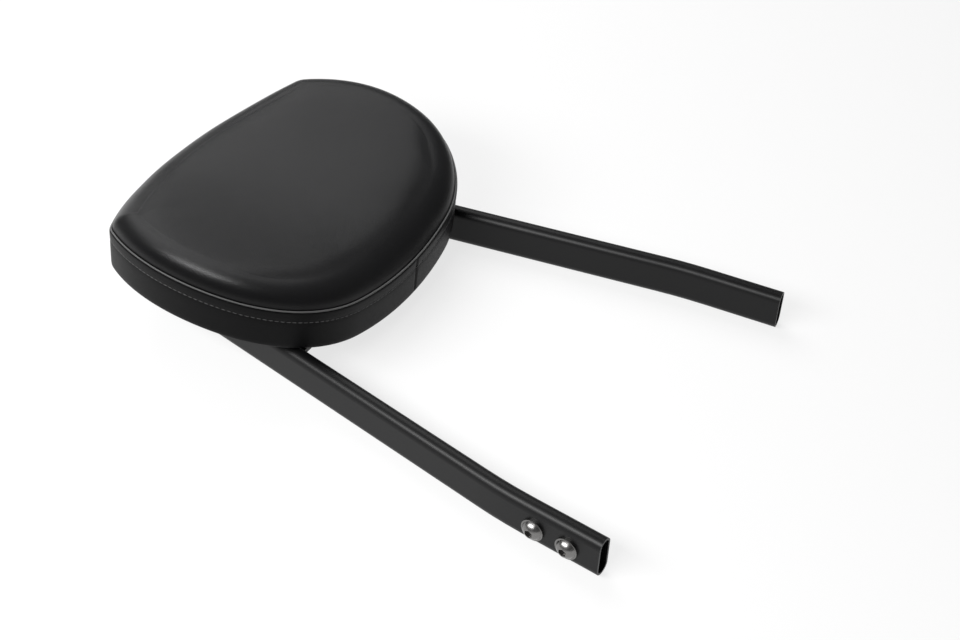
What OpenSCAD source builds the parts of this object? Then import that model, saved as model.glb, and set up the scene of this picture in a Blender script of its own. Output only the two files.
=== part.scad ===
// Motorcycle sissy bar: a flat-oval tube hoop with a padded backrest.
// It lies on its back edge, as it would on a bench: X runs across the legs,
// Y runs from the open leg ends to the top of the pad, Z is the riding direction,
// with the front of the pad upwards. Origin: middle of the footprint, on the bench.

/* [Tube] */
// Width of the flat-oval tube across its flats
tube_w = 12; // [10:0.5:15]
// Depth of the tube, round edge to round edge
tube_h = 30; // [28:1:36]
// Wall of the tube
tube_wall = 1.5; // [1.5:0.25:2.5]

/* [Hoop] */
// Distance between the two leg centrelines at the open ends
end_spacing = 280; // [250:2:320]
// Outward slope of each leg end, which lies along a fender rail
end_splay = 5.3; // [3:0.1:7]
// Outward slope of the long straight of each leg
leg_splay = 10.7; // [9.5:0.1:12]
// Distance from the leg ends to the gentle knee
knee_y = 73; // [68:1:90]
// Radius of the knee, on the centreline
knee_r = 370; // [250:10:450]
// Radius of the top bend of the hoop, on the centreline
crown_r = 83; // [78:1:90]

/* [Leg fasteners] */
// Distance from the leg end to the first screw
leg_screw_from_end = 22.5; // [18:0.5:26]
// Distance between the two screws of a leg
leg_screw_pitch = 25; // [20:1:27]
// How far the screws lie behind the middle of the tube's flat
leg_screw_low = 2; // [0:0.5:3]
// Thread of the leg screws
leg_thread_d = 8; // [6:1:8]
// Length of the leg screws under the head
leg_screw_len = 10; // [8:0.5:10]
// Diameter of the button head of the leg screws
leg_head_d = 14; // [12:0.5:15]
// Height of that head
leg_head_h = 4.4; // [3.5:0.1:5]
// Hexagon socket of the leg screws, across flats
leg_hex = 5; // [4:0.5:6]
// Depth of that socket
leg_hex_depth = 2.6; // [2:0.1:3]
// Diameter of the washers under those heads
leg_washer_d = 16; // [15.5:0.5:18]
// Thickness of those washers
leg_washer_t = 1.6; // [1:0.1:2]
// Outside diameter of the threaded bushes welded into the legs
bush_d = 13; // [12:0.5:15]

/* [Cross straps] */
// Width of the two flat straps welded across the hoop
strap_w = 25; // [20:1:30]
// Thickness of the straps
strap_t = 4; // [3:0.5:5]
// Place of the lower strap, below the middle of the pad
lower_strap_y = -58; // [-64:1:-50]
// Place of the upper strap, from the middle of the pad
upper_strap_y = 0; // [-10:1:10]
// Radius of the weld beads at the strap ends
weld_r = 3; // [2:0.5:4]
// Clearance hole in the straps
strap_hole_d = 6.6; // [6.4:0.1:7.5]

/* [Pad outline] */
// Radius of the nearly straight top edge
top_edge_r = 221; // [200:1:240]
// Turn of the outline along half the top edge, degrees
top_edge_turn = 28.8; // [27:0.1:30]
// Radius of the two upper corners
corner_r = 20.5; // [18:0.5:28]
// Turn of the outline round a corner
corner_turn = 29.9; // [26:0.1:31]
// Radius of the flanks
flank_r = 130; // [125:0.5:140]
// Turn of the outline along a flank
flank_turn = 47.7; // [45:0.1:49]
// Radius of the lower quarters
lower_r = 88.5; // [84:0.5:94]
// Turn of the outline round a lower quarter
lower_turn = 64.3; // [62:0.1:66]

/* [Pad body] */
// Radius to which the pad is rolled round the passenger's back
wrap_r = 375; // [320:5:500]
// Backward tilt of the pad against the legs
pad_tilt = 3.9; // [2:0.1:5]
// Distance from the centre of the hoop's top bend up to the middle of the pad
pad_above_bend = 0; // [-4:0.5:4]
// Gap between the hoop's top bend and the back of the pan
pad_gap = 1; // [0.5:0.1:3]
// Height of the side band from the back edge to the seam
band_h = 31; // [25:0.5:40]
// How far the rounded shoulder reaches in from the seam
shoulder_in = 22; // [16:0.5:26]
// How far the shoulder rises above the seam
shoulder_up = 13; // [8:0.5:16]
// Rise of the crown from the shoulder to the middle of the pad
crown_up = 6.5; // [4:0.5:12]
// Thickness of the vinyl cover
cover_t = 1.2; // [0.9:0.1:1.5]
// Width of the cover that is folded under the pan and stapled
fold_in = 15; // [12:1:16]
// Seam allowance of the top panel, tucked inside the side band
allowance = 10; // [8:0.5:12]

/* [Pad pan] */
// Thickness of the moulded pan
pan_t = 5; // [4:0.5:6]
// Drop of the screw bosses below the back of the pan, at its middle
boss_drop = 8; // [7:0.5:10]
// Diameter of the bosses
boss_d = 16; // [14:0.5:18]
// Drop of the ribs that join the bosses
rib_drop = 5; // [3:0.5:6]
// Thickness of those ribs
rib_t = 3; // [2:0.5:4]
// Distance between the two pad screws on one strap
pad_screw_pitch = 70; // [60:1:80]
// Thread of the pad screws
pad_thread_d = 6; // [5:1:6]
// Length of the pad screws under the head
pad_screw_len = 16; // [14:1:17]
// Diameter of the button head of the pad screws
pad_head_d = 10.5; // [10:0.5:12]
// Height of that head
pad_head_h = 3.3; // [2.5:0.1:3.5]
// Hexagon socket of the pad screws, across flats
pad_hex = 4; // [3:0.5:4]
// Depth of that socket
pad_hex_depth = 2; // [1.5:0.1:2.2]
// Diameter of the washers under the heads
washer_d = 12.5; // [12:0.5:16]
// Thickness of the washers
washer_t = 1.6; // [1:0.1:2]
// Outside diameter of the brass inserts in the bosses
insert_d = 8; // [7.5:0.5:9]
// Length of the inserts
insert_len = 12; // [11:0.5:12]

/* [Staples] */
// Number of staples on each half of the fold
staples_per_half = 18; // [10:1:22]
// Length of a staple's crown
staple_len = 10; // [8:1:12]
// Length of a staple's legs under the crown
staple_leg = 4; // [3:0.5:5]
// Thickness of the staple wire
staple_wire = 0.8; // [0.6:0.1:1]

/* [Fits] */
// Gap left between soft pieces that lie on each other
fit_gap = 0.3; // [0.2:0.05:0.4]

/* [Hidden] */
$fn = 64;

// Points of the leg centreline, for the leg on +X, and the middle of the pad
knee_x = end_spacing / 2 - knee_y * tan(end_splay);
knee_cut = knee_r * tan((leg_splay - end_splay) / 2);
end_run = knee_y / cos(end_splay) - knee_cut;
crown_y = knee_y + (knee_x * cos(leg_splay) - crown_r) / sin(leg_splay);
tangent = [crown_r * cos(leg_splay), crown_y + crown_r * sin(leg_splay)];
leg_run = norm(tangent - [knee_x, knee_y]) - knee_cut;
pad_y = crown_y + pad_above_bend;
pad_z = tube_h + pad_gap - (crown_r - pad_above_bend) * tan(pad_tilt);
tube_bore_w = tube_w - 2 * tube_wall;
bush_len = tube_w - tube_wall;
leg_screw_places = [leg_screw_from_end, leg_screw_from_end + leg_screw_pitch];
// Reach of the leg screws into their bushes, which stay closed at the bottom
leg_screw_reach = min(leg_screw_len - leg_washer_t, bush_len - 1.5);

// Outline of the pad: five tangent arcs a side, each [radius, turn]; the last closes it
headings = [0, top_edge_turn, top_edge_turn + corner_turn, top_edge_turn + corner_turn + flank_turn,
    top_edge_turn + corner_turn + flank_turn + lower_turn, 180];
free_radii = [top_edge_r, corner_r, flank_r, lower_r];
function arc_step(r, from, to) = r * [sin(to) - sin(from), cos(to) - cos(from)];
function arc_start(i, radii) =
    i == 0 ? [0, 0] : arc_start(i - 1, radii) + arc_step(radii[i - 1], headings[i - 1], headings[i]);
base_r = arc_start(4, free_radii)[0] / sin(headings[4]);
arc_radii = concat(free_radii, base_r);
pad_len = -arc_start(5, arc_radii)[1];
arc_steps = [7, 4, 7, 8, 3];

// Stations round the pad, each [x, y, outward x, outward y], clockwise from the top centre
right_half = [for (i = [0 : 4]) for (j = [0 : arc_steps[i] - 1])
    let (h = headings[i] + (headings[i + 1] - headings[i]) * j / arc_steps[i],
        p = arc_start(i, arc_radii) + arc_step(arc_radii[i], headings[i], h))
    [p[0], p[1] + pad_len / 2, sin(h), cos(h)]];
half_count = len(right_half);
stations = concat(right_half, [[0, -pad_len / 2, 0, -1]],
    [for (i = [half_count - 1 : -1 : 1]) let (s = right_half[i]) [-s[0], s[1], -s[2], s[3]]]);
around = len(stations);

function wrap_z(x) = wrap_r - sqrt(wrap_r * wrap_r - x * x);
function inset_outline(d) = [for (s = stations) [s[0] - d * s[2], s[1] - d * s[3]]];
// A ring on the pad: the outline moved in by d, shrunk to k of its size, at height up over the pan's back
function ring(d, k, up) = [for (p = inset_outline(d)) [k * p[0], k * p[1], wrap_z(k * p[0]) + up]];

// Heights in the pad's own frame, from the back of the pan at its middle
seam_z = band_h;
rim_z = seam_z + shoulder_up;
strap_top_z = -boss_drop;
strap_bottom_z = strap_top_z - strap_t;
dome_scales = [0.22, 0.42, 0.6, 0.75, 0.88];
shoulder_angles = [90, 74, 58, 42, 28, 14, 0];
inner_angles = [90, 74, 58, 42];
function crown_row(k, skin) = [shoulder_in, k, rim_z + crown_up * (1 - k * k) - skin];
// Row of the shoulder at an angle up its quarter ellipse, moved inwards by a skin's thickness
function shoulder_row(a, skin) =
    let (n = [shoulder_up * cos(a), shoulder_in * sin(a)], u = n / norm(n))
    [shoulder_in * (1 - cos(a)) + skin * u[0], 1, seam_z + shoulder_up * sin(a) - skin * u[1]];

// The origin is the middle of the footprint
low_y = -tube_w / 2 * sin(end_splay);
high_y = pad_y + pad_len / 2 * cos(pad_tilt);
origin_y = (low_y + high_y) / 2;
boss_places = [for (y = [lower_strap_y, upper_strap_y]) for (x = [-1, 1]) [x * pad_screw_pitch / 2, y]];
staple_inset = fold_in / 2;
// Reach of a soft piece lying inside the cover: the cover's thickness and the gap
tuck = cover_t + fit_gap;
eps = 0.01;
far = 400;
// Reach of a straight of the hoop into a bend, and the bend's extra radius there
lap = 1;
fuller = 0.02;

tube_black = [0.07, 0.07, 0.075];
vinyl_black = [0.12, 0.12, 0.125];
pan_black = [0.09, 0.09, 0.09];
steel = [0.75, 0.75, 0.77];
brass = [0.78, 0.62, 0.3];
foam_grey = [0.55, 0.55, 0.52];

// Frames
module part_frame() { translate([0, -origin_y, 0]) children(); }
module pad_frame() { part_frame() translate([0, pad_y, pad_z]) rotate([pad_tilt, 0, 0]) children(); }
module both_sides() { children(); mirror([1, 0, 0]) children(); }
// Open end of the leg on +X: +Y along the leg, +X out of its outer flat, Z from the middle of the tube
module leg_end_frame() {
    translate([end_spacing / 2, 0, tube_h / 2]) rotate([0, 0, end_splay]) children();
}

// Middle of each screw place on the leg on +X, on its outer flat, Z outwards
module on_leg_screws() {
    leg_end_frame() for (y = leg_screw_places)
        translate([tube_w / 2, y, -leg_screw_low]) rotate([0, 90, 0]) children();
}

// Flat-oval section: two semicircles and the flats between them
module flat_oval(w, h) {
    square([w, h - w], center = true);
    for (s = [-1, 1]) translate([0, s * (h - w) / 2]) circle(d = w);
}
// Stretches of the tube's path, filled to a width and height. A straight laps into its
// bends, and a bend is a hair fuller, so that their walls never lie on each other.
module straight(run, w, h) {
    translate([0, -lap, 0]) rotate([-90, 0, 0]) linear_extrude(height = run + 2 * lap) flat_oval(w, h);
}
module bend(r, from, turn, w, h) {
    rotate([0, 0, from]) rotate_extrude(angle = turn, $fn = 180) translate([r, 0])
        flat_oval(w + 2 * fuller, h + 2 * fuller);
}
module leg(w, h, past_end) {
    leg_end_frame() translate([0, lap - past_end, 0]) straight(end_run + past_end - lap, w, h);
    translate([knee_x - knee_r * cos(end_splay) + knee_cut * sin(end_splay),
        knee_y - knee_r * sin(end_splay) - knee_cut * cos(end_splay), tube_h / 2])
        bend(knee_r, end_splay, leg_splay - end_splay, w, h);
    translate([tangent[0] + leg_run * sin(leg_splay), tangent[1] - leg_run * cos(leg_splay), tube_h / 2])
        rotate([0, 0, leg_splay]) straight(leg_run, w, h);
}
module hoop(w, h, past_end) {
    both_sides() leg(w, h, past_end);
    translate([0, crown_y, tube_h / 2]) bend(crown_r, leg_splay, 180 - 2 * leg_splay, w, h);
}
module bush_holes() {
    on_leg_screws() translate([0, 0, -tube_wall - 1]) cylinder(d = bush_d, h = tube_wall + 2);
}
module hoop_tube() {
    color(tube_black) part_frame() difference() {
        hoop(tube_w, tube_h, 0);
        hoop(tube_bore_w, tube_h - 2 * tube_wall, 1);
        both_sides() bush_holes();
    }
}

// Space between the inner faces of the hoop, to which the straps are cut
module hoop_inside() {
    inner = tube_w / 2 / cos(leg_splay);
    low = knee_y + knee_cut;
    function flat_x(y) = knee_x - (y - knee_y) * tan(leg_splay) - inner;
    top = tangent[1] - tube_w / 2 * sin(leg_splay);
    translate([0, 0, -far / 2]) linear_extrude(height = far)
        polygon([[-flat_x(low), low], [flat_x(low), low], [flat_x(top), top], [-flat_x(top), top]]);
    translate([0, crown_y, 0]) cylinder(r = crown_r - tube_w / 2, h = far, center = true, $fn = 180);
}
module strap(y) {
    part_frame() intersection() {
        translate([0, pad_y, pad_z]) rotate([pad_tilt, 0, 0]) difference() {
            translate([-far / 2, y - strap_w / 2, strap_bottom_z]) cube([far, strap_w, strap_t]);
            for (x = [-1, 1]) translate([x * pad_screw_pitch / 2, y, strap_bottom_z - 1])
                cylinder(d = strap_hole_d, h = strap_t + 2);
        }
        hoop_inside();
    }
}
module lower_strap() { color(tube_black) strap(lower_strap_y); }
module upper_strap() { color(tube_black) strap(upper_strap_y); }

// Quarter-round beads where the front and back faces of a strap meet the tube
module strap_bead(y, z) {
    at_y = pad_y + y * cos(pad_tilt) - z * sin(pad_tilt);
    at_x = knee_x - (at_y - knee_y) * tan(leg_splay) - tube_w / 2 / cos(leg_splay);
    translate([at_x, at_y, pad_z + y * sin(pad_tilt) + z * cos(pad_tilt)])
        rotate([pad_tilt, 0, leg_splay]) rotate([90, 0, 0])
            cylinder(r = weld_r, h = strap_w - 2 * weld_r, center = true, $fn = 32);
}
module strap_welds() {
    color(tube_black) difference() {
        part_frame() intersection() {
            both_sides() for (y = [lower_strap_y, upper_strap_y]) for (z = [strap_bottom_z, strap_top_z])
                strap_bead(y, z);
            hoop_inside();
        }
        strap(lower_strap_y);
        strap(upper_strap_y);
    }
}

// Blind threaded bushes welded flush into the outer flats
module leg_bushes() {
    color(steel) part_frame() both_sides() on_leg_screws() difference() {
        translate([0, 0, -bush_len]) cylinder(d = bush_d, h = bush_len);
        translate([0, 0, -leg_screw_reach]) cylinder(d = leg_thread_d, h = leg_screw_reach + 1);
    }
}
// Dome of a screw head: the cap of a sphere over a disc of diameter d
module dome(d, h) {
    r = (d * d / 4 + h * h) / (2 * h);
    intersection() {
        translate([0, 0, h - r]) sphere(r = r, $fn = 96);
        cylinder(d = d, h = h);
    }
}
module hex_socket(flats, depth, top) {
    translate([0, 0, top - depth]) cylinder(d = flats / cos(30), h = depth + 1, $fn = 6);
}
// Button-head screw, its head on the plane Z = 0
module button_screw(thread_d, length, head_d, head_h, flats, socket_depth) {
    difference() {
        union() {
            dome(head_d, head_h);
            translate([0, 0, -length]) cylinder(d = thread_d, h = length);
        }
        hex_socket(flats, socket_depth, head_h);
    }
}
module washer(d, hole_d, t) {
    difference() {
        cylinder(d = d, h = t);
        translate([0, 0, -1]) cylinder(d = hole_d, h = t + 2);
    }
}
module leg_screws() {
    color(steel) part_frame() both_sides() on_leg_screws() translate([0, 0, leg_washer_t])
        button_screw(leg_thread_d, leg_screw_reach + leg_washer_t, leg_head_d, leg_head_h, leg_hex,
            leg_hex_depth);
}
module leg_washers() {
    color(steel) part_frame() both_sides() on_leg_screws()
        washer(leg_washer_d, leg_thread_d + 0.4, leg_washer_t);
}

// The shell between two copies of the rolled surface, at heights low and high over the pan's back
module rolled_shell(low, high) {
    module roll(up) {
        translate([0, 0, wrap_r + up]) rotate([90, 0, 0])
            cylinder(r = wrap_r, h = far, center = true, $fn = 360);
    }
    difference() { roll(low); roll(high); }
}
module outline_prism(d) {
    translate([0, 0, -far / 4]) linear_extrude(height = far / 2) polygon(inset_outline(d));
}

// Moulded pan: a rolled plate with four bosses and the ribs that join them
module pan_plate() {
    intersection() {
        outline_prism(tuck);
        rolled_shell(0, pan_t);
    }
}
module pan_relief() {
    tall = rib_drop + pan_t / 2;
    translate([0, 0, -rib_drop]) {
        for (y = [lower_strap_y, upper_strap_y]) translate([-pad_screw_pitch / 2, y - rib_t / 2, 0])
            cube([pad_screw_pitch, rib_t, tall]);
        for (x = [-1, 1]) translate([x * pad_screw_pitch / 2 - rib_t / 2, lower_strap_y, 0])
            cube([rib_t, upper_strap_y - lower_strap_y, tall]);
    }
    for (p = boss_places) translate([p[0], p[1], -boss_drop])
        cylinder(d = boss_d, h = boss_drop + wrap_z(p[0]) + pan_t / 2);
}
module pad_pan() {
    color(pan_black) pad_frame() difference() {
        union() { pan_plate(); pan_relief(); }
        for (p = boss_places) translate([p[0], p[1], -boss_drop - 1]) cylinder(d = insert_d, h = insert_len + 1);
        staple_legs();
    }
}
module pad_inserts() {
    color(brass) pad_frame() for (p = boss_places) translate([p[0], p[1], -boss_drop]) difference() {
        cylinder(d = insert_d, h = insert_len);
        translate([0, 0, -1]) cylinder(d = pad_thread_d, h = insert_len + 2);
    }
}
module pad_screws() {
    color(steel) pad_frame() for (p = boss_places)
        translate([p[0], p[1], strap_bottom_z - washer_t]) mirror([0, 0, 1])
            button_screw(pad_thread_d, pad_screw_len, pad_head_d, pad_head_h, pad_hex, pad_hex_depth);
}
module pad_washers() {
    color(steel) pad_frame() for (p = boss_places) translate([p[0], p[1], strap_bottom_z - washer_t])
        washer(washer_d, strap_hole_d, washer_t);
}

// A solid through rows of rings, from an upper pole to a last pole, each row [inset, scale, height]
module ringed_solid(rows, first_z, last_z) {
    points = concat([[0, 0, first_z]], [for (r = rows) each ring(r[0], r[1], r[2])], [[0, 0, last_z]]);
    last = len(points) - 1;
    function at(r, j) = 1 + r * around + j % around;
    faces = concat(
        [for (j = [0 : around - 1]) [0, at(0, j), at(0, j + 1)]],
        [for (r = [0 : len(rows) - 2]) for (j = [0 : around - 1]) each
            [[at(r, j), at(r + 1, j), at(r + 1, j + 1)], [at(r, j), at(r + 1, j + 1), at(r, j + 1)]]],
        [for (j = [0 : around - 1]) [last, at(len(rows) - 1, j + 1), at(len(rows) - 1, j)]]);
    polyhedron(points, faces);
}
// Crowned top panel: dome, shoulder, seam edge, the allowance tucked inside the band, and its inside
module cover_top_panel() {
    outer = concat([for (k = dome_scales) crown_row(k, 0)],
        [for (a = shoulder_angles) shoulder_row(a, 0) + [0, 0, a == 0 ? fit_gap : 0]]);
    tucked = [[tuck, 1, seam_z + fit_gap], [tuck, 1, seam_z - allowance],
        [tuck + cover_t, 1, seam_z - allowance], [tuck + cover_t, 1, seam_z + fit_gap]];
    inner = concat([for (i = [len(inner_angles) - 1 : -1 : 0]) shoulder_row(inner_angles[i], cover_t)],
        [for (i = [len(dome_scales) - 1 : -1 : 0]) crown_row(dome_scales[i], cover_t)]);
    color(vinyl_black) pad_frame()
        ringed_solid(concat(outer, tucked, inner), rim_z + crown_up, rim_z + crown_up - cover_t);
}
// Foam block, from the pan to the underside of the top panel
module pad_foam() {
    side = 2 * tuck;
    floor_z = pan_t + fit_gap;
    rows = concat([for (k = dome_scales) crown_row(k, tuck)],
        [for (a = inner_angles) shoulder_row(a, tuck)],
        [[side, 1, seam_z], [side, 1, floor_z]],
        [for (i = [len(dome_scales) - 1 : -1 : 0]) [side, dome_scales[i], floor_z]]);
    color(foam_grey) pad_frame() ringed_solid(rows, rim_z + crown_up - tuck, floor_z);
}

// Side band: the wall from the seam to the back edge, and the fold that is stapled under the pan
module cover_side_band() {
    color(vinyl_black) pad_frame() difference() {
        intersection() {
            outline_prism(0);
            rolled_shell(-fit_gap - cover_t, seam_z);
        }
        intersection() {
            outline_prism(cover_t);
            rolled_shell(-fit_gap, seam_z + 1);
        }
        intersection() {
            outline_prism(fold_in);
            rolled_shell(-fit_gap - 2 * cover_t, 0);
        }
        staple_legs();
    }
}

// Places of the staples along the fold, each [x, y, angle]
staple_line = inset_outline(staple_inset);
function run_to(i) = i == 0 ? 0 : run_to(i - 1) + norm(staple_line[i] - staple_line[i - 1]);
half_run = run_to(half_count);
function segment_at(s, i = 1) = run_to(i) >= s || i == half_count ? i : segment_at(s, i + 1);
staple_places = [for (n = [0 : staples_per_half - 1])
    let (s = half_run * (n + 0.5) / staples_per_half, i = segment_at(s),
        a = staple_line[i - 1], b = staple_line[i], u = (b - a) / norm(b - a))
    [each a + u * (s - run_to(i - 1)), atan2(u[1], u[0])]];
module on_staples() {
    both_sides() for (p = staple_places)
        translate([p[0], p[1], wrap_z(p[0]) - fit_gap - cover_t])
            rotate([0, -asin(p[0] / wrap_r), 0]) rotate([0, 0, p[2]]) children();
}
module staple_pair() {
    for (s = [-1, 1]) translate([s * (staple_len - staple_wire) / 2 - staple_wire / 2, -staple_wire / 2, 0])
        cube([staple_wire, staple_wire, staple_leg]);
}
module staple_legs() { on_staples() translate([0, 0, -eps]) staple_pair(); }
module cover_staples() {
    color(steel) pad_frame() on_staples() {
        translate([-staple_len / 2, -staple_wire / 2, -staple_wire - fit_gap])
            cube([staple_len, staple_wire, staple_wire]);
        translate([0, 0, -fit_gap - eps]) staple_pair();
    }
}

hoop_tube();
lower_strap();
upper_strap();
strap_welds();
leg_bushes();
leg_screws();
leg_washers();
pad_pan();
pad_inserts();
pad_foam();
cover_top_panel();
cover_side_band();
cover_staples();
pad_screws();
pad_washers();
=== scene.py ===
# %% [markdown]
# # A motorcycle sissy bar
#
# A sissy bar is the upright hoop behind a motorcycle's passenger seat. Two legs clasp the
# rear fender, and a padded backrest is screwed to the hoop. This one lies on its back.
# The metal parts come from the CAD model, which is loaded first and stays where it is.
# Blender then adds what CAD does badly: the stuffed cover, its seams, the thread and the finishes.

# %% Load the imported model
import math

import bmesh
import bpy
import numpy as np
from mathutils import Matrix, Vector


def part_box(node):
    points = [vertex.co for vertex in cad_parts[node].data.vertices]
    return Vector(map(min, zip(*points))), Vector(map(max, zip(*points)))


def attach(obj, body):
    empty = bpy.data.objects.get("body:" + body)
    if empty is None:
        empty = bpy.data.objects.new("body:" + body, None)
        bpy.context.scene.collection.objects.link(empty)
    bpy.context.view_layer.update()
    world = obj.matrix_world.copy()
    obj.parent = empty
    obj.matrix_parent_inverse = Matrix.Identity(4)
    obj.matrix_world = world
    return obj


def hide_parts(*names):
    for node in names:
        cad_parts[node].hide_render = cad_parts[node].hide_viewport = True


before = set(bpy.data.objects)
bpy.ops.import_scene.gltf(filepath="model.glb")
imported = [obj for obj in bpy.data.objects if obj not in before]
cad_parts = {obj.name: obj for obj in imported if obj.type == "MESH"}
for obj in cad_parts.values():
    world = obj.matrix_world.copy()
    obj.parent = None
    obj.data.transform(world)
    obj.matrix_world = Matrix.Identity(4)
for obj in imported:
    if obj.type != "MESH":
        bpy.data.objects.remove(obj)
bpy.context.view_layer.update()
print("nodes:", ", ".join(sorted(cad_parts)))

# %% [markdown]
# ## Sizes
#
# The cover has to sit on the pan and meet the legs, so it is drawn from the same few sizes as
# the solids: five tangent arcs for the outline, the radius of the roll and the tilt.
# The one size that is read from the model itself is the place of the leg ends.

# %% Name the sizes
MM = 0.001
DEG = math.radians(1)
TUBE_WIDE, END_SPLAY = 12 * MM, 5.3 * DEG
LEG_ENDS_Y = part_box("hoop_tube")[0].y + TUBE_WIDE / 2 * math.sin(END_SPLAY)

# Half of the pad's outline, clockwise from its top centre: (radius, turn, steps)
OUTLINE = [(221 * MM, 28.8 * DEG, 38), (20.5 * MM, 29.9 * DEG, 4), (130 * MM, 47.7 * DEG, 34),
           (88.5 * MM, 64.3 * DEG, 32), (353.59 * MM, 9.3 * DEG, 20)]
ROLL = 375 * MM
PAD_TILT = 3.9 * DEG
PAD_MIDDLE = Vector((0, LEG_ENDS_Y + 331.05 * MM, 25.34 * MM))
BAND_HIGH = 31 * MM
SHOULDER_IN, SHOULDER_UP, CROWN_UP = 20 * MM, 17 * MM, 3.5 * MM
COVER, SEAM_IN = 1.2 * MM, 2.0 * MM
print("leg ends at y =", round(LEG_ENDS_Y, 4))

# %% [markdown]
# ## Tools for a finish
#
# A finish is a small network of shader nodes. Writing one by hand is long, because each sum
# needs a Math node of its own. So an output is wrapped in a class whose operators add those
# nodes, and every other node comes from one method. Then a pattern reads like a formula.


# %% Wrap an output socket, so that sums write themselves
class Wire:
    """An output socket that takes part in sums."""

    def __init__(self, finish, socket):
        self.finish, self.socket = finish, socket

    def math(self, operation, first, second=0.0):
        return self.finish.math(operation, first, second)

    def __add__(self, other):
        return self.math("ADD", self, other)

    def __sub__(self, other):
        return self.math("SUBTRACT", self, other)

    def __rsub__(self, other):
        return self.math("SUBTRACT", other, self)

    def __mul__(self, other):
        return self.math("MULTIPLY", self, other)

    __radd__ = __add__
    __rmul__ = __mul__


class Finish:
    """A material with one Principled shader."""

    def __init__(self, name, **plain):
        self.material = bpy.data.materials.new(name)
        self.material.use_nodes = True
        self.tree = self.material.node_tree
        self.tree.nodes.clear()
        self.shader = self.tree.nodes.new("ShaderNodeBsdfPrincipled")
        output = self.tree.nodes.new("ShaderNodeOutputMaterial")
        self.tree.links.new(self.shader.outputs[0], output.inputs[0])
        self.set(**plain)

    def plug(self, socket, value):
        """Gives a socket a plain value, or links it to a wire."""
        if isinstance(value, Wire):
            self.tree.links.new(value.socket, socket)
        else:
            socket.default_value = value

    def set(self, **values):
        """Sets sockets of the shader. Base_Color stands for Base Color."""
        for name, value in values.items():
            self.plug(self.shader.inputs[name.replace("_", " ")], value)

    def node(self, kind, settings=None, sockets=None, output=0):
        """Adds a node of a kind, sets it, feeds its sockets and returns one of its outputs."""
        made = self.tree.nodes.new(kind)
        for name, value in (settings or {}).items():
            if name == "stops":
                ramp = made.color_ramp
                while len(ramp.elements) < len(value):
                    ramp.elements.new(1.0)
                for element, (place, level) in zip(ramp.elements, value):
                    element.position, element.color = place, (level, level, level, 1)
            else:
                setattr(made, name, value)
        for name, value in (sockets or {}).items():
            self.plug(made.inputs[name], value)
        return Wire(self, made.outputs[output])

    def math(self, operation, first, second=0.0):
        """A Math node on two values or wires."""
        return self.node("ShaderNodeMath", {"operation": operation}, {0: first, 1: second})

    def place(self):
        """Where a point lies on the piece, in metres."""
        return self.node("ShaderNodeTexCoord", output="Object")

    def noise(self, size, detail=2.0, roughness=0.5):
        """Smooth noise from 0 to 1, with blotches of a size in metres."""
        return self.node("ShaderNodeTexNoise", {"noise_dimensions": "3D"},
                         {"Vector": self.place(), "Scale": 1 / size, "Detail": detail,
                          "Roughness": roughness})

    def ramp(self, value, *stops):
        """Turns a value into another by stops of (place, level)."""
        return self.node("ShaderNodeValToRGB", {"stops": stops}, {0: value})

    def tint(self, factor, first, second):
        """A colour between two, by a factor from 0 to 1."""
        return self.node("ShaderNodeMix", {"data_type": "RGBA"},
                         {0: factor, 6: (*first, 1), 7: (*second, 1)}, output=2)

    def bump(self, height, depth, strength=1.0, under=None):
        """A bump of a depth in metres, on top of another bump if one is given."""
        sockets = {"Height": height, "Distance": depth, "Strength": strength}
        if under is not None:
            sockets["Normal"] = under
        return self.node("ShaderNodeBump", None, sockets)


print("tools for a finish are ready")

# %% [markdown]
# ## Black vinyl
#
# Seat vinyl is a soft film on cloth, rolled with a fine leather grain: pebbles well under a
# millimetre wide with sharp valleys between them. A Voronoi pattern gives such cells. A broad
# noise varies the gloss a little, as hands and the sewing do, and keeps it from looking moulded.
# The side wall is the same vinyl, given a darker colour and a weaker mirror: painted shade, so that
# the wall reads darker than the front. The mirror value is how much light the very surface throws
# back: black vinyl gets its look from that more than from its colour.


# %% Mix the vinyl
def vinyl(name, colour, gloss, mirror):
    finish = Finish(name, Specular_IOR_Level=mirror)
    wander = finish.noise(0.0016, 1.0)
    bent = finish.node("ShaderNodeVectorMath", {"operation": "MULTIPLY_ADD"},
                       {0: wander, 1: (0.0006,) * 3, 2: finish.place()})
    cells = finish.node("ShaderNodeTexVoronoi", {"feature": "DISTANCE_TO_EDGE"},
                        {"Vector": bent, "Scale": 1 / 0.0011})
    pebbles = finish.ramp(cells, (0.0, 0.0), (0.12, 0.75), (0.4, 1.0))
    patches = finish.noise(0.045, 3.0)
    finish.set(
        Base_Color=finish.tint(patches * 0.5 + pebbles * 0.5, [0.8 * c for c in colour], colour),
        Roughness=gloss + (patches - 0.5) * 0.10 - pebbles * 0.04,
        Normal=finish.bump(pebbles, 0.00007, 0.5, finish.bump(patches, 0.0012, 0.25)))
    return finish.material


black_vinyl = vinyl("black_vinyl", (0.0080, 0.0080, 0.0085), 0.35, 0.18)
# Painted shade: the wall's copy of the vinyl has a darker colour and a weaker mirror than the
# front's.
wall_vinyl_painted_shade = vinyl("wall_vinyl_painted_shade", (0.0055, 0.0055, 0.0058), 0.46, 0.08)
print("made", black_vinyl.name, wall_vinyl_painted_shade.name)

# %% [markdown]
# ## Metal, plastic and foam
#
# The hoop is powder coated: dry paint melted on in an oven, which leaves a faint orange-peel
# ripple. The fasteners are plain stainless steel, turned and then tumbled, so their gloss is
# uneven. The pan is moulded plastic with a spark texture, and the foam is open-celled. Pictures
# would need the solids unwrapped, so each finish mixes a few noises in the piece's own space.


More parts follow.
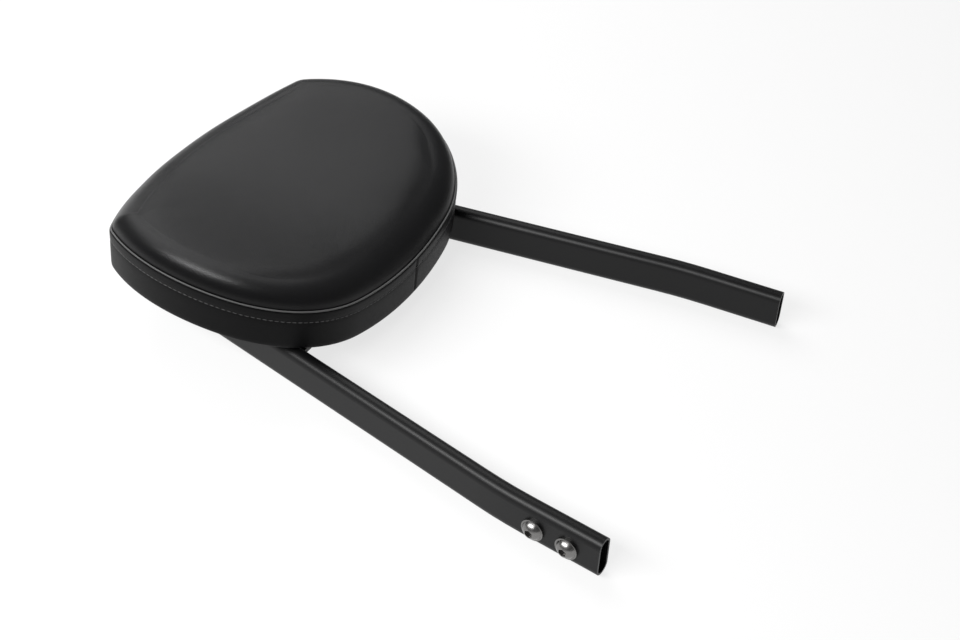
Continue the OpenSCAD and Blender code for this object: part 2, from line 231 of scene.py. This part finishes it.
# %% Mix the powder coat
def powder_coat():
    finish = Finish("black_powder_coat", Specular_IOR_Level=0.24)
    peel = finish.noise(0.0022, 2.0)
    dust = finish.noise(0.0004, 1.0)
    clouds = finish.noise(0.05, 2.0)
    finish.set(
        Base_Color=finish.tint(clouds, (0.0024, 0.0024, 0.0026), (0.0040, 0.0040, 0.0043)),
        Roughness=0.40 + (clouds - 0.5) * 0.08 + (dust - 0.5) * 0.06,
        Normal=finish.bump(dust, 0.00001, 0.4, finish.bump(peel, 0.00006, 0.35)))
    return finish.material


black_powder_coat = powder_coat()
print("made", black_powder_coat.name)


# %% Mix the bare metals
def bare_metal(name, colour, gloss, grain=0.0004):
    finish = Finish(name, Metallic=1.0)
    rubbed = finish.noise(0.004, 3.0)
    fine = finish.noise(grain, 2.0)
    finish.set(
        Base_Color=finish.tint(rubbed, [0.86 * c for c in colour], colour),
        Roughness=gloss + (rubbed - 0.5) * 0.12 + (fine - 0.5) * 0.08,
        Normal=finish.bump(fine, 0.00001, 0.4))
    return finish.material


# Painted shade: the stainless is kept about half as light as bare stainless steel, which dims what
# the fasteners mirror of the white surroundings.
stainless = bare_metal("stainless", (0.22, 0.216, 0.212), 0.28)
plain_steel = bare_metal("plain_steel", (0.50, 0.50, 0.51), 0.38)
insert_brass = bare_metal("insert_brass", (0.75, 0.57, 0.27), 0.33)
print("made", stainless.name, plain_steel.name, insert_brass.name)


# %% Mix the plastic and the foam
def textured(name, dark, light, gloss, size, depth):
    finish = Finish(name, Specular_IOR_Level=0.35)
    spots = finish.noise(size, 3.0, 0.6)
    patches = finish.noise(0.03, 2.0)
    finish.set(
        Base_Color=finish.tint(spots * 0.6 + patches * 0.4, dark, light),
        Roughness=gloss + (patches - 0.5) * 0.1,
        Normal=finish.bump(spots, depth, 0.6))
    return finish.material


pan_plastic = textured("pan_plastic", (0.016,) * 3, (0.026,) * 3, 0.62, 0.0009, 0.00008)
foam_grey = textured("foam", (0.20, 0.20, 0.19), (0.36, 0.36, 0.34), 0.95, 0.0016, 0.0005)
# Painted highlight: the thread is a grey far lighter than the black of the vinyl, so that the black
# stitches show as light dashes.
thread_painted_highlight = textured("sewing_thread_painted_highlight", (0.080,) * 3, (0.130,) * 3, 0.55, 0.0003, 0.00005)
print("made", pan_plastic.name, foam_grey.name, thread_painted_highlight.name)

# %% [markdown]
# ## Dressing the solids that stay
#
# A CAD node whose shape is right keeps its mesh and only takes a better finish. To model the
# tube or a screw again would make it less exact and no better to look at.

# %% Give the solids their finishes
FINISH_OF = {
    "hoop_tube": black_powder_coat, "lower_strap": black_powder_coat,
    "upper_strap": black_powder_coat, "strap_welds": black_powder_coat,
    "leg_bushes": plain_steel, "leg_screws": stainless, "leg_washers": stainless,
    "pad_pan": pan_plastic, "pad_inserts": insert_brass, "cover_staples": plain_steel,
    "pad_screws": plain_steel, "pad_washers": plain_steel,
}
for node, material in FINISH_OF.items():
    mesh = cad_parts[node].data
    mesh.materials.clear()
    mesh.materials.append(material)
print("dressed", len(FINISH_OF), "solids")

# %% [markdown]
# ## Pieces from a bmesh
#
# Each new piece is shaped in a bmesh, the mesh that Blender's modelling tools work on. At the
# end it becomes an object at the origin, with its place in its vertices, and rides on the
# only body that this object has.


# %% Turn a bmesh into a piece
def piece_from(bm, name, material, smooth=True):
    """Makes an object of a bmesh, in one material."""
    mesh = bpy.data.meshes.new(name)
    bm.to_mesh(mesh)
    bm.free()
    mesh.materials.append(material)
    mesh.polygons.foreach_set("use_smooth", [smooth] * len(mesh.polygons))
    piece = bpy.data.objects.new(name, mesh)
    bpy.context.scene.collection.objects.link(piece)
    return piece


def apply_modifiers(piece):
    """Bakes the modifiers of a piece into its mesh."""
    bpy.context.view_layer.update()
    graph = bpy.context.evaluated_depsgraph_get()
    baked = bpy.data.meshes.new_from_object(piece.evaluated_get(graph))
    old, piece.data = piece.data, baked
    piece.modifiers.clear()
    bpy.data.meshes.remove(old)


def roll_height(x):
    """Height that the roll of the pad gives a point at x, over the middle."""
    return ROLL - math.sqrt(ROLL * ROLL - x * x)


PAD_PLACE = Matrix.Translation(PAD_MIDDLE) @ Matrix.Rotation(PAD_TILT, 4, "X")
print("the pad's middle is at", [round(v, 4) for v in PAD_MIDDLE])

# %% [markdown]
# ## The outline of the pad
#
# The outline is a chain of arcs that run smoothly into each other: the long top edge, a tight
# corner, the flank, the lower quarter and the almost straight base. Spin turns one vertex
# round each centre in turn, which leaves exactly such a chain, and the other half is its mirror.


# %% Spin a vertex round the five arcs
def outline_half():
    """Points and outward directions of the right half, from the top centre to the bottom."""
    bm = bmesh.new()
    tip = bm.verts.new((0, 0, 0))
    heading, outward = 0.0, [Vector((0, 1, 0))]
    for radius, turn, steps in OUTLINE:
        facing = Vector((math.sin(heading), math.cos(heading), 0))
        spun = bmesh.ops.spin(bm, geom=[tip], cent=tip.co - radius * facing, axis=(0, 0, -1),
                              angle=turn, steps=steps, use_merge=False, use_normal_flip=False,
                              use_duplicate=False)
        tip = spun["geom_last"][0]
        for step in range(1, steps + 1):
            angle = heading + turn * step / steps
            outward.append(Vector((math.sin(angle), math.cos(angle), 0)))
        heading += turn
    bm.verts.ensure_lookup_table()
    points = [v.co.copy() for v in bm.verts]
    bm.free()
    middle = Vector((0, points[-1].y / 2, 0))
    return [p - middle for p in points], outward


half_points, half_outward = outline_half()
HALF = len(half_points) - 1
AROUND = 2 * HALF
flip = Vector((-1, 1, 1))
stations = half_points[:-1] + [p * flip for p in half_points[:0:-1]]
outward = half_outward[:-1] + [n * flip for n in half_outward[:0:-1]]
stations[HALF].x = 0.0
print(f"{AROUND} stations, pad {2000 * max(p.x for p in stations):.0f} mm wide and "
      f"{1000 * (stations[0].y - stations[HALF].y):.0f} mm long")

# %% [markdown]
# ## The stuffed form
#
# The cover is one skin over the foam: a domed front, a rounded shoulder, and a wall that goes
# round the edge and under the pan. It could be remeshed from a block, but rows that follow the
# outline give cleaner reflections. So the outline is extruded row by row, and the front is
# closed with a grid fill, which keeps its quads even. The skin is drawn flat first.


# %% Draw the skin row by row
def add_row(bm, ring, inset, height):
    """Extrudes a ring of vertices to a new inset from the outline and height over the pan."""
    edges = [bm.edges.get((ring[i - 1], ring[i])) for i in range(AROUND)]
    made = bmesh.ops.extrude_edge_only(bm, edges=edges)["geom"]
    fresh = {v for v in made if isinstance(v, bmesh.types.BMVert)}
    row = [next(e.other_vert(v) for e in v.link_edges if e.other_vert(v) in fresh) for v in ring]
    for v, point, out in zip(row, stations, outward):
        v.co = point - inset * out + Vector((0, 0, height))
    return row


def first_ring(bm, inset, height):
    """A closed ring of vertices along the outline, at an inset from it and a height."""
    ring = [bm.verts.new(p - inset * n + Vector((0, 0, height))) for p, n in zip(stations, outward)]
    for i in range(AROUND):
        bm.edges.new((ring[i - 1], ring[i]))
    return ring


GRID_CORNER = 40


def close_with_grid(bm, ring):
    """Fills the ring with a grid of quads: two opposite chains of edges make its ends."""
    chains = [range(-GRID_CORNER, GRID_CORNER), range(HALF - GRID_CORNER, HALF + GRID_CORNER)]
    edges = [bm.edges.get((ring[i % AROUND], ring[(i + 1) % AROUND])) for c in chains for i in c]
    return bmesh.ops.grid_fill(bm, edges=edges, mat_nr=0, use_smooth=True)["faces"]


print("rows of", AROUND, "vertices")

# %% [markdown]
# ## The dome
#
# The front of the pad is domed: highest at its middle, and at its rim as high and as steep as
# the shoulder ends, because a glossy surface shows the smallest kink as a line. The share of the
# way from the middle to the rim, in whatever direction, sets the height.

# %% Measure how far a point is on the way to the rim
# The shoulder is a quarter ellipse that stops this far round, short of level
SHOULDER_TURN = 82 * DEG
RIM_IN = SEAM_IN + SHOULDER_IN * (1 - math.cos(SHOULDER_TURN))
RIM_SLOPE = SHOULDER_UP / SHOULDER_IN / math.tan(SHOULDER_TURN)
rim = np.array([(p - RIM_IN * n)[:2] for p, n in zip(stations, outward)])
rim_angle = np.arctan2(rim[:, 1], rim[:, 0])
rim_reach = np.hypot(rim[:, 0], rim[:, 1])
in_turn = np.argsort(rim_angle)


def way_to_rim(points):
    """0 at the middle of the pad and 1 on the rim, for rows of x and y, and the rim's distance."""
    angle, reach = np.arctan2(points[:, 1], points[:, 0]), np.hypot(points[:, 0], points[:, 1])
    at_rim = np.interp(angle, rim_angle[in_turn], rim_reach[in_turn], period=2 * math.pi)
    return np.minimum(reach / at_rim, 1.0), at_rim


def dome(bm, faces, base):
    """Lifts the vertices of the faces to the dome, over a base height at the rim."""
    inner = sorted({v for f in faces for v in f.verts}, key=lambda v: v.index)
    share, reach = way_to_rim(np.array([v.co[:2] for v in inner]))
    leaning = RIM_SLOPE * reach - 2 * CROWN_UP
    for v, rise in zip(inner, CROWN_UP * (1 - share ** 2) + leaning * share ** 2 * (1 - share)):
        v.co.z = base + rise


print("rim reaches", [round(1000 * r) for r in (rim_reach.min(), rim_reach.max())], "mm")

# %% [markdown]
# ## Puffing the cover up
#
# Sewn panels bulge between their seams because the foam presses on them. That is what a cloth
# simulation with pressure gives, and it is more alike than a drawn curve. The seam and the
# stapled edge are pinned. A few frames leave wrinkles that stretched vinyl wouldn't have, so the
# moves of neighbours are averaged. Each point may move only a little, and the limit is soft.

# %% Draw the flat skin
SHOULDER_ROWS = 14
# Rows of the wall and of the fold under the pan: (inset, height) in millimetres
BAND_ROWS = (
    (1.45, 31.2), (0.9, 31.05), (0.45, 30.65), (0.15, 30.05), (0, 29.3), (0, 28.4), (0, 27.3),
    (0, 25.8), (0, 23.8), (0, 22.5), (0, 21.2), (0, 18.4), (0, 15), (0, 11.6), (0, 8.2), (0, 4.8),
    (0, 2), (0.25, -0.3), (1.1, -1.25), (3.2, -1.5), (6, -1.5), (9, -1.5), (12, -1.5), (15, -1.5))
STITCH_ROW = 10


def shoulder(turn):
    """How far the shoulder lies inwards of the seam, and over it, at a turn in radians."""
    return SHOULDER_IN * (1 - math.cos(turn)), SHOULDER_UP * math.sin(turn)


def flat_skin():
    """The whole cover before the puffing, and the vertex numbers of each row of its wall."""
    bm = bmesh.new()
    seam = first_ring(bm, SEAM_IN, BAND_HIGH)
    ups = [seam]
    for row in range(1, SHOULDER_ROWS + 1):
        inwards, rise = shoulder(row * SHOULDER_TURN / SHOULDER_ROWS)
        ups.append(add_row(bm, ups[-1], SEAM_IN + inwards, BAND_HIGH + rise))
    bm.verts.index_update()
    faces = close_with_grid(bm, ups[-1])
    bm.verts.index_update()
    dome(bm, faces, BAND_HIGH + shoulder(SHOULDER_TURN)[1])
    rows = [seam]
    for inset, height in BAND_ROWS:
        rows.append(add_row(bm, rows[-1], inset * MM, height * MM))
    for v in bm.verts:
        v.co.z += roll_height(v.co.x)
    bmesh.ops.recalc_face_normals(bm, faces=bm.faces)
    bm.verts.index_update()
    return bm, [[v.index for v in row] for row in rows]


skin_bm, wall_index = flat_skin()
seam_index, stitch_index, hem_index = (wall_index[i] for i in (0, STITCH_ROW, -1))
FRONT_COUNT = wall_index[1][0]
skin = piece_from(skin_bm, "skin_form", black_vinyl)
print("flat skin:", len(skin.data.vertices), "vertices")

# %% Blow it up with the cloth simulation
PRESSURE, FRAMES = 4.0, 20
PUFF_LIMIT, EVENING = 1.6 * MM, 60
STIFFNESS, BENDING = 40, 4


def coordinates(piece):
    """The places of a piece's vertices, one row each."""
    flat = np.empty(3 * len(piece.data.vertices), np.float32)
    piece.data.vertices.foreach_get("co", flat)
    return flat.reshape(-1, 3).astype(float)


def evened(moved, piece, pinned, rounds):
    """Averages the moves of neighbouring points a number of times. Pinned points stay at 0."""
    pairs = np.array([e.vertices[:] for e in piece.data.edges])
    count = np.bincount(pairs.ravel(), minlength=len(moved))[:, None]
    for turn in range(rounds):
        total = np.zeros_like(moved)
        np.add.at(total, pairs[:, 0], moved[pairs[:, 1]])
        np.add.at(total, pairs[:, 1], moved[pairs[:, 0]])
        moved = 0.5 * moved + 0.5 * total / count
        moved[pinned] = 0.0
    return moved


def puff(piece, pinned):
    """Runs a cloth simulation with pressure, and moves the points part of the way it shows."""
    before = coordinates(piece)
    pins = piece.vertex_groups.new(name="pins")
    pins.add(pinned, 1.0, "REPLACE")
    cloth = piece.modifiers.new("puff", "CLOTH")
    cloth.settings.use_pressure = True
    cloth.settings.uniform_pressure_force = PRESSURE
    cloth.settings.vertex_group_mass = "pins"
    cloth.settings.effector_weights.gravity = 0.0
    cloth.settings.tension_stiffness = cloth.settings.compression_stiffness = STIFFNESS
    cloth.settings.bending_stiffness = BENDING
    cloth.point_cache.frame_start, cloth.point_cache.frame_end = 1, FRAMES
    for step in range(1, FRAMES + 1):
        bpy.context.scene.frame_set(step)
    apply_modifiers(piece)
    piece.vertex_groups.clear()
    moved = evened(coordinates(piece) - before, piece, pinned, EVENING)
    length = np.linalg.norm(moved, axis=1, keepdims=True) + 1e-9
    print(f"the cloth moved {1000 * length.max():.1f} mm at most, "
          f"{1000 * length.mean():.2f} mm on average")
    after = before + moved / length * PUFF_LIMIT * np.tanh(length / PUFF_LIMIT)
    piece.data.vertices.foreach_set("co", after.astype(np.float32).ravel())
    bpy.context.scene.frame_set(1)


puff(skin, seam_index + hem_index)

# %% [markdown]
# ## Seams
#
# At the seam the wall rounds over into a narrow valley, out of which the front rises, and the
# ends of both turn inwards. A line of stitching runs round the wall about 8 mm below it, and
# holds the turned ends flat. The wall's own two ends meet near the middle of the lower edge.
# All of these are narrower than the mesh of the simulation, so they are made after it.

# %% Pull the stitching in
STITCH_DEEP, NEIGHBOUR_SHARE = 0.4 * MM, 0.25
points = coordinates(skin)
inwards = -np.array([list(n) for n in outward])
for step, share in ((0, 1.0), (-1, NEIGHBOUR_SHARE), (1, NEIGHBOUR_SHARE)):
    points[wall_index[STITCH_ROW + step]] += share * STITCH_DEEP * inwards
skin.data.vertices.foreach_set("co", points.astype(np.float32).ravel())
stitch_line = [Vector(p) for p in points[stitch_index]]
print(f"stitching pulled in by {1000 * STITCH_DEEP:.1f} mm")


# %% Part the skin at the seam and turn the edges in
def open_ring(bm):
    """The open edges along the seam, whose vertices are the first of the skin."""
    return [e for e in bm.edges if e.is_boundary and all(v.index < AROUND for v in e.verts)]


def turn_in(bm, steps):
    """Extrudes the seam edge inwards, each step (inwards, up) in millimetres."""
    edges = open_ring(bm)
    for inwards_by, up in steps:
        made = bmesh.ops.extrude_edge_only(bm, edges=edges)["geom"]
        for v in (g for g in made if isinstance(g, bmesh.types.BMVert)):
            towards = Vector((-v.co.x, -v.co.y, 0)).normalized()
            v.co += towards * inwards_by * MM + Vector((0, 0, up * MM))
        edges = [g for g in made if isinstance(g, bmesh.types.BMEdge) and g.is_boundary]


def half_skin(keep, steps):
    """The part of the skin whose faces are kept, with its seam edge turned in."""
    bm = bmesh.new()
    bm.from_mesh(skin.data)
    drop = [f for f in bm.faces if not keep(f)]
    bmesh.ops.delete(bm, geom=drop, context="FACES")
    turn_in(bm, steps)
    return bm


def in_front(face):
    """Whether a face of the skin belongs to the front panel, whose vertices came first."""
    return all(v.index < FRONT_COUNT for v in face.verts)


front_bm = half_skin(in_front, ((0.9, -0.8), (1.6, -0.4)))
wall_bm = half_skin(lambda f: not in_front(f), ((0.9, 0.3), (1.6, 0.0)))
print("front:", len(front_bm.faces), "faces; wall:", len(wall_bm.faces), "faces")


# %% Cut the wall's closing seam
CLOSING_X, CLOSING_WIDE, CLOSING_DEEP = 9 * MM, 1.8 * MM, 0.9 * MM


def closing_seam(bm):
    """Cuts rows across the lower wall and presses them in to a groove from top to bottom."""
    for across in (-1, -0.5, 0, 0.5, 1):
        lower = [f for f in bm.faces if f.calc_center_median().y < 0]
        edges = list({e for f in lower for e in f.edges})
        corners = list({v for f in lower for v in f.verts})
        bmesh.ops.bisect_plane(bm, geom=lower + edges + corners, plane_no=(1, 0, 0), dist=1e-6,
                               plane_co=(CLOSING_X + across * CLOSING_WIDE, 0, 0))
    for v in bm.verts:
        across = abs(v.co.x - CLOSING_X) / CLOSING_WIDE
        if v.co.y < 0 and across < 1 and v.co.z > 0:
            v.co.y += CLOSING_DEEP * (1 - across * across) ** 2


closing_seam(wall_bm)
print("wall with its closing seam:", len(wall_bm.faces), "faces")


# %% Finish the two panels
def finish_panel(bm, name, material, nodes):
    """Puts a panel in place, gives it its thickness, and rounds it with one subdivision."""
    bmesh.ops.recalc_face_normals(bm, faces=bm.faces)
    bmesh.ops.transform(bm, matrix=PAD_PLACE, verts=bm.verts)
    panel = piece_from(bm, name, material)
    thick = panel.modifiers.new("thickness", "SOLIDIFY")
    thick.thickness, thick.offset = COVER, -1.0
    soft = panel.modifiers.new("soft", "SUBSURF")
    soft.levels = soft.render_levels = 1
    apply_modifiers(panel)
    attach(panel, "root")
    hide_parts(*nodes)
    return panel


front_panel = finish_panel(front_bm, "pad_front_panel", black_vinyl, ["cover_top_panel"])
side_wall = finish_panel(wall_bm, "pad_side_wall", wall_vinyl_painted_shade, ["cover_side_band"])
bpy.data.objects.remove(skin)
print("front panel:", len(front_panel.data.polygons), "faces; side wall:",
      len(side_wall.data.polygons), "faces")

# %% [markdown]
# ## Thread
#
# Each stitch is a short spindle of thread that dips into the cover at both ends. A round curve
# would look like a cord laid on the vinyl, with no gaps where the thread goes in. So one small
# sphere, stretched and turned, is repeated along the line of stitching.

# %% Sew the line of stitching
PITCH, STITCH_LONG, THREAD = 4.0 * MM, 3.3 * MM, 0.8 * MM
STITCH_SIDES = 6


def along(line, pitch):
    """Points at a pitch along a closed line, each with the direction of the line there."""
    loop = line + line[:1]
    lengths = [(b - a).length for a, b in zip(loop, loop[1:])]
    count = round(sum(lengths) / pitch)
    step, left, found = sum(lengths) / count, 0.0, []
    for a, b, length in zip(loop, loop[1:], lengths):
        while left < length:
            found.append((a.lerp(b, left / length), (b - a).normalized()))
            left += step
        left -= length
    return found[:count]


def sew(line):
    """One stretched sphere for each stitch of a line."""
    bm = bmesh.new()
    for point, direction in along(line, PITCH):
        turn = direction.to_track_quat("X", "Z").to_matrix().to_4x4()
        size = Matrix.Diagonal((STITCH_LONG / 2, THREAD / 2, THREAD / 2, 1))
        bmesh.ops.create_uvsphere(bm, u_segments=STITCH_SIDES, v_segments=STITCH_SIDES, radius=1.0,
                                  matrix=PAD_PLACE @ Matrix.Translation(point) @ turn @ size
                                  @ Matrix.Rotation(90 * DEG, 4, "Y"))
    return bm


# The stitches take the thread's lighter grey, a painted highlight.
topstitch = piece_from(sew(stitch_line), "pad_topstitch", thread_painted_highlight)
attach(topstitch, "root")
print("stitches:", len(topstitch.data.polygons) // STITCH_SIDES ** 2)

# %% [markdown]
# ## Edge of the seam
#
# Along the seam the folded edge of the vinyl stands up a little, and catches the light as a thin
# line. The rows of the panels are too far apart to be pulled up so narrowly. So a thin round welt,
# closed on itself, is laid in the seam and given the thread's lighter finish: a painted highlight, a
# light line where the vinyl's edge catches the lamps.

# %% Lay the welt in the seam
WELT, WELT_IN, WELT_HIGH = 0.7 * MM, 1.25 * MM, 31.2 * MM
WELT_SIDES = 8


def seam_welt():
    """A ring of vertices carried once round a small circle, and bridged to its start."""
    bm = bmesh.new()
    start = row = first_ring(bm, WELT_IN - WELT, WELT_HIGH)
    for side in range(1, WELT_SIDES):
        turn = 2 * math.pi * side / WELT_SIDES
        row = add_row(bm, row, WELT_IN - WELT * math.cos(turn), WELT_HIGH + WELT * math.sin(turn))
    loops = [bm.edges.get((ring[i - 1], ring[i])) for ring in (start, row) for i in range(AROUND)]
    bmesh.ops.bridge_loops(bm, edges=loops)
    for v in bm.verts:
        v.co.z += roll_height(v.co.x)
    bmesh.ops.recalc_face_normals(bm, faces=bm.faces)
    bmesh.ops.transform(bm, matrix=PAD_PLACE, verts=bm.verts)
    return bm


# The welt is a painted highlight: a ring in the thread's lighter finish, where the real cover has
# only its vinyl edge catching the light.
welt = piece_from(seam_welt(), "pad_seam_painted_highlight", thread_painted_highlight)
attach(welt, "root")
print("welt:", len(welt.data.polygons), "faces")

# %% [markdown]
# ## Foam
#
# The foam block can't be seen, but it is what the cover is stretched over. A plain block would
# stand out of the rounded cover, so it is made with the same rows, a little inside the skin.

# %% Cut the foam
FOAM_GAP, FOAM_FLOOR = 1.6 * MM, 5.3 * MM
FOAM_ROWS = (0.33, 0.66, 1.0)


def foam_block():
    """Shoulder and dome as the cover's, a gap lower, and a flat base over the pan."""
    bm = bmesh.new()
    side = 2 * FOAM_GAP
    start = first_ring(bm, side, BAND_HIGH)
    row = start
    for part in FOAM_ROWS:
        inwards, rise = shoulder(part * SHOULDER_TURN)
        row = add_row(bm, row, side + inwards, BAND_HIGH + rise - FOAM_GAP)
    bm.verts.index_update()
    faces = close_with_grid(bm, row)
    bm.verts.index_update()
    dome(bm, faces, BAND_HIGH + shoulder(SHOULDER_TURN)[1] - FOAM_GAP)
    row = add_row(bm, start, side, FOAM_FLOOR)
    close_with_grid(bm, row)
    for v in bm.verts:
        v.co.z += roll_height(v.co.x)
    bmesh.ops.recalc_face_normals(bm, faces=bm.faces)
    bmesh.ops.transform(bm, matrix=PAD_PLACE, verts=bm.verts)
    return bm


foam = piece_from(foam_block(), "pad_foam_block", foam_grey)
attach(foam, "root")
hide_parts("pad_foam")
print("foam:", len(foam.data.polygons), "faces")

# %% [markdown]
# ## Camera
#
# The camera stands where the photograph was taken from. Its place, turn and focal length were
# solved from the straight edges of the tube and from the outline of the pad.

# %% Set up the camera
TURN, DOWN, ROLL_OVER = 61.84 * DEG, 40.06 * DEG, 3.31 * DEG
forward = Vector((math.sin(TURN) * math.cos(DOWN), math.cos(TURN) * math.cos(DOWN), -math.sin(DOWN)))
right = Vector((math.cos(TURN), -math.sin(TURN), 0))
up = right.cross(forward)
leaning_right = math.cos(ROLL_OVER) * right + math.sin(ROLL_OVER) * up
leaning_up = math.cos(ROLL_OVER) * up - math.sin(ROLL_OVER) * right
camera_data = bpy.data.cameras.new("camera")
camera_data.lens, camera_data.sensor_width = 61.69, 36.0
camera = bpy.data.objects.new("camera", camera_data)
camera.matrix_world = Matrix.Translation((-0.77324, LEG_ENDS_Y - 0.24476, 0.76317)) @ Matrix(
    (leaning_right, leaning_up, -forward)).transposed().to_4x4()
bpy.context.scene.collection.objects.link(camera)
bpy.context.scene.camera = camera
print("camera at", [round(v, 3) for v in camera.matrix_world.translation])

# %% [markdown]
# ## Studio
#
# A white floor, white surroundings and three softboxes. Black things show their lamps more than
# their colour, so each lamp stands where the photograph's reflections ask for it: one low on the
# left for the long stripe on the tube, one overhead for the streak on the pad's shoulder, and one
# behind for the sheen on its front. Light linking keeps the first two from crossing. To the
# camera and to reflections the floor is mostly a plain white, and it keeps a part of the shadow.


# %% Lay the floor
FLOOR_SIZE, FLOOR_DROP, FLOOR_GLOW = 30.0, 0.5 * MM, 0.75


def white_floor():
    """A wide plane just under the hoop, plain white to the camera and to reflections."""
    bm = bmesh.new()
    bmesh.ops.create_grid(bm, x_segments=8, y_segments=8, size=FLOOR_SIZE,
                          matrix=Matrix.Translation((0, 0, -FLOOR_DROP)))
    finish = Finish("white_floor", Base_Color=(0.86, 0.86, 0.86, 1), Roughness=0.9,
                    Specular_IOR_Level=0.0)
    grain = finish.noise(0.2, 2.0)
    finish.set(Roughness=0.85 + grain * 0.1)
    seen = finish.math("MINIMUM", 1.0, sum(
        finish.node("ShaderNodeLightPath", output=f"Is {kind} Ray")
        for kind in ("Camera", "Glossy", "Transmission")))
    glow = finish.node("ShaderNodeEmission", None, {"Color": (1, 1, 1, 1), "Strength": 1.0})
    mixed = finish.node("ShaderNodeMixShader", None,
                        {0: seen * FLOOR_GLOW, 1: Wire(finish, finish.shader.outputs[0]), 2: glow})
    output = next(n for n in finish.tree.nodes if n.type == "OUTPUT_MATERIAL")
    finish.tree.links.new(mixed.socket, output.inputs[0])
    floor = piece_from(bm, "floor", finish.material, smooth=False)


white_floor()
print("floor laid")


# %% Light it
def softbox(name, direction, distance, size, brightness, lit=()):
    """A lamp that faces the object, its long side along Y, for the lit pieces or for all.

    Brightness is what a mirror would show of the lamp, so its power grows with its size.
    """
    data = bpy.data.lights.new(name, "AREA")
    data.shape, data.size, data.size_y = "RECTANGLE", *size
    data.energy = brightness * math.pi * size[0] * size[1]
    light = bpy.data.objects.new(name, data)
    towards = Vector(direction).normalized()
    across = Vector((0, 1, 0)).cross(towards).normalized()
    turned = Matrix((towards.cross(across), -across, towards)).transposed().to_4x4()
    light.matrix_world = Matrix.Translation(OBJECT_MIDDLE + distance * towards) @ turned
    bpy.context.scene.collection.objects.link(light)
    if lit:
        only = bpy.data.collections.new(name + "_lights")
        for piece in lit:
            only.objects.link(piece)
        light.light_linking.receiver_collection = only


OBJECT_MIDDLE = Vector((0, 0.05, 0.03))
pad_pieces = [front_panel, side_wall, topstitch, welt]
others = [o for o in bpy.context.scene.objects if o.type == "MESH" and o not in pad_pieces]
softbox("left", (-0.74, 0.20, 0.64), 1.1, (1.0, 0.34), 16, others)
softbox("overhead", (-0.20, 0.28, 0.94), 1.16, (0.6, 0.26), 28, pad_pieces)
softbox("behind", (0.46, 0.50, 0.73), 1.3, (1.1, 0.9), 2.1)

world = bpy.data.worlds.new("surroundings")
bpy.context.scene.world = world
world.use_nodes = True
backdrop = world.node_tree.nodes["Background"]
backdrop.inputs["Color"].default_value = (1, 1, 1, 1)
backdrop.inputs["Strength"].default_value = 0.16
bpy.context.scene.view_settings.view_transform = "Standard"
print("lit by", [light.name for light in bpy.data.lights])
